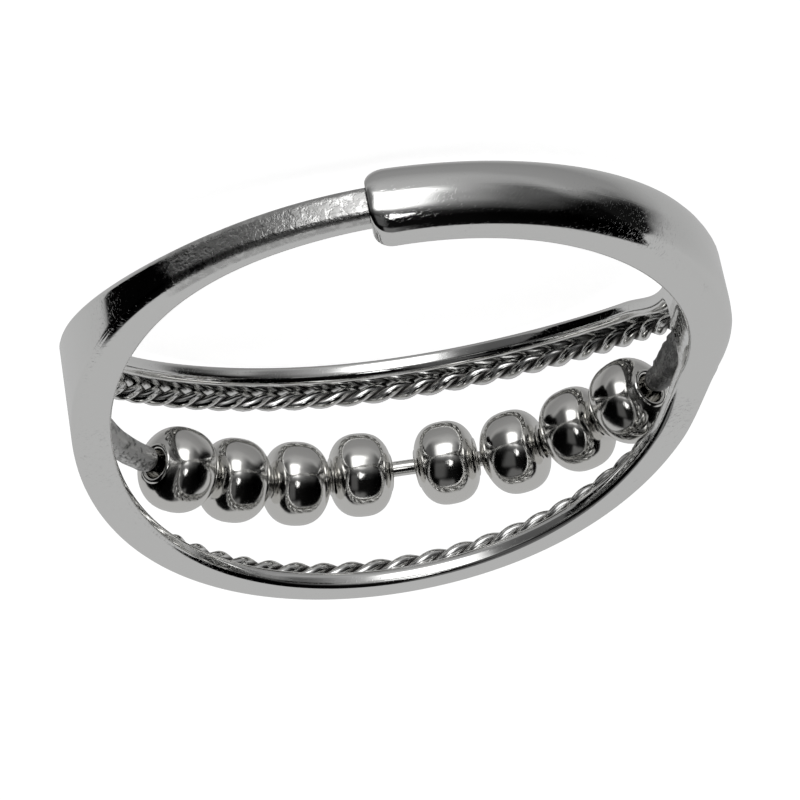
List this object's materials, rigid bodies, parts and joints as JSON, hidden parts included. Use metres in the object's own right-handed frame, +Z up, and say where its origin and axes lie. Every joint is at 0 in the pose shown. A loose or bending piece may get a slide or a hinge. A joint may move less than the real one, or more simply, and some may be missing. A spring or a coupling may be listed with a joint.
{
  "type": "spinner ring",
  "caption": "Open adjustable finger ring whose loose barrel beads spin on a curved wire between twisted-wire-edged rails, with a tongue that slides into a sleeve.",
  "frame": {"origin": "middle of the ring's footprint, on the surface that it lies on", "axes": "+Z up, the ring lying on its side on its front rail and its sleeve; +Y from the sleeve towards the bead side; +X towards the tongue arm"},
  "size_m": [0.0194, 0.0202, 0.0078],
  "materials": {
    "band_silver": "polished silver, worn",
    "bead_silver": "polished silver"
  },
  "bodies": {
    "frame": {"ring_frame": "band_silver"},
    "bead_1": {"bead_1": "bead_silver"},
    "bead_2": {"bead_2": "bead_silver"},
    "bead_3": {"bead_3": "bead_silver"},
    "bead_4": {"bead_4": "bead_silver"},
    "bead_5": {"bead_5": "bead_silver"},
    "bead_6": {"bead_6": "bead_silver"},
    "bead_7": {"bead_7": "bead_silver"},
    "bead_8": {"bead_8": "bead_silver"}
  },
  "joints": [
    {"name": "bead_1_spin", "type": "hinge", "parent": "frame", "child": "bead_1", "pos_m": [0.0059, 0.00677, 0.0035], "axis": [0.7869, -0.6055, -0.1187], "continuous": true},
    {"name": "bead_2_spin", "type": "hinge", "parent": "frame", "child": "bead_2", "pos_m": [0.00404, 0.00789, 0.00373], "axis": [0.907, -0.4113, -0.0899], "continuous": true},
    {"name": "bead_3_spin", "type": "hinge", "parent": "frame", "child": "bead_3", "pos_m": [0.00198, 0.00855, 0.00387], "axis": [0.9791, -0.1953, -0.0562], "continuous": true},
    {"name": "bead_4_spin", "type": "hinge", "parent": "frame", "child": "bead_4", "pos_m": [-0.00019, 0.00877, 0.00373], "axis": [0.9993, 0.031, -0.0197], "continuous": true},
    {"name": "bead_5_spin", "type": "hinge", "parent": "frame", "child": "bead_5", "pos_m": [-0.00297, 0.00827, 0.00372], "axis": [0.9466, 0.3211, 0.0292], "continuous": true},
    {"name": "bead_6_spin", "type": "hinge", "parent": "frame", "child": "bead_6", "pos_m": [-0.00503, 0.00724, 0.00383], "axis": [0.8418, 0.5357, 0.0669], "continuous": true},
    {"name": "bead_7_spin", "type": "hinge", "parent": "frame", "child": "bead_7", "pos_m": [-0.00678, 0.0058, 0.00365], "axis": [0.6878, 0.7189, 0.1007], "continuous": true},
    {"name": "bead_8_spin", "type": "hinge", "parent": "frame", "child": "bead_8", "pos_m": [-0.00809, 0.00395, 0.00338], "axis": [0.4936, 0.8601, 0.1287], "continuous": true}
  ]
}
